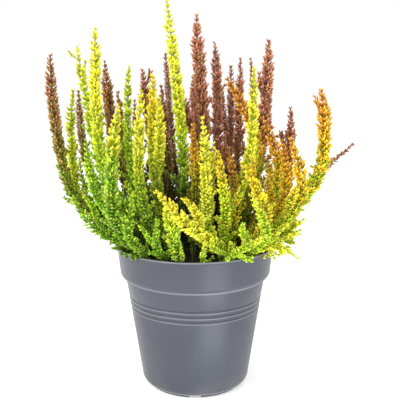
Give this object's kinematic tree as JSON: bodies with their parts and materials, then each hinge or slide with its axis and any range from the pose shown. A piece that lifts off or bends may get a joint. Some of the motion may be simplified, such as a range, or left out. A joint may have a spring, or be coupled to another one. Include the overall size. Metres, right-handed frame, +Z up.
{
  "type": "potted heather",
  "caption": "Bushy heather with upright lime, yellow, orange and maroon needle spikes in a round tapered plastic nursery pot with a deep rim, standing on its foot.",
  "frame": {"origin": "middle of the pot's standing face, on the surface that the pot stands on", "axes": "+Z up along the pot's axis, -Y towards the front of the bush as pictured, +X to its right"},
  "size_m": [0.2531, 0.1816, 0.3166],
  "materials": {
    "pot_plastic": "satin moulded plastic",
    "compost_black": "damp crumbly peat",
    "lime_foliage": "matte lime-green needles, yellower at the tips",
    "yellow_foliage": "matte yellow needles, green at the foot",
    "green_foliage": "matte mid-green needles",
    "amber_foliage": "matte golden needles",
    "orange_foliage": "matte orange needles, yellow-green at the foot",
    "bronze_foliage": "matte brown needles, green at the foot",
    "maroon_foliage": "matte red-brown needles"
  },
  "bodies": {
    "root": {"pot": "pot_plastic", "compost": "compost_black", "lime_stem_01": "lime_foliage", "lime_stem_02": "lime_foliage", "lime_stem_03": "lime_foliage", "lime_stem_04": "lime_foliage", "lime_stem_05": "lime_foliage", "lime_stem_06": "lime_foliage", "lime_stem_07": "lime_foliage", "lime_stem_08": "lime_foliage", "lime_stem_09": "lime_foliage", "yellow_stem_01": "yellow_foliage", "yellow_stem_02": "yellow_foliage", "yellow_stem_03": "yellow_foliage", "yellow_stem_04": "yellow_foliage", "yellow_stem_05": "yellow_foliage", "yellow_stem_06": "yellow_foliage", "yellow_stem_07": "yellow_foliage", "green_stem_01": "green_foliage", "green_stem_02": "green_foliage", "green_stem_03": "green_foliage", "green_stem_04": "green_foliage", "green_stem_05": "green_foliage", "green_stem_06": "green_foliage", "green_stem_07": "green_foliage", "green_stem_08": "green_foliage", "green_stem_09": "green_foliage", "amber_stem_01": "amber_foliage", "amber_stem_02": "amber_foliage", "amber_stem_03": "amber_foliage", "amber_stem_04": "amber_foliage", "orange_stem_01": "orange_foliage", "orange_stem_02": "orange_foliage", "orange_stem_03": "orange_foliage", "orange_stem_04": "orange_foliage", "orange_stem_05": "orange_foliage", "orange_stem_06": "orange_foliage", "orange_stem_07": "orange_foliage", "bronze_stem_01": "bronze_foliage", "bronze_stem_02": "bronze_foliage", "bronze_stem_03": "bronze_foliage", "bronze_stem_04": "bronze_foliage", "maroon_stem_01": "maroon_foliage", "maroon_stem_02": "maroon_foliage", "maroon_stem_03": "maroon_foliage", "maroon_stem_04": "maroon_foliage", "maroon_stem_05": "maroon_foliage", "maroon_stem_06": "maroon_foliage", "maroon_stem_07": "maroon_foliage", "maroon_stem_08": "maroon_foliage", "maroon_stem_09": "maroon_foliage", "maroon_stem_10": "maroon_foliage", "maroon_stem_11": "maroon_foliage", "maroon_stem_12": "maroon_foliage", "maroon_stem_13": "maroon_foliage", "maroon_stem_14": "maroon_foliage", "maroon_stem_15": "maroon_foliage", "maroon_stem_16": "maroon_foliage", "maroon_stem_17": "maroon_foliage"}
  },
  "joints": []
}
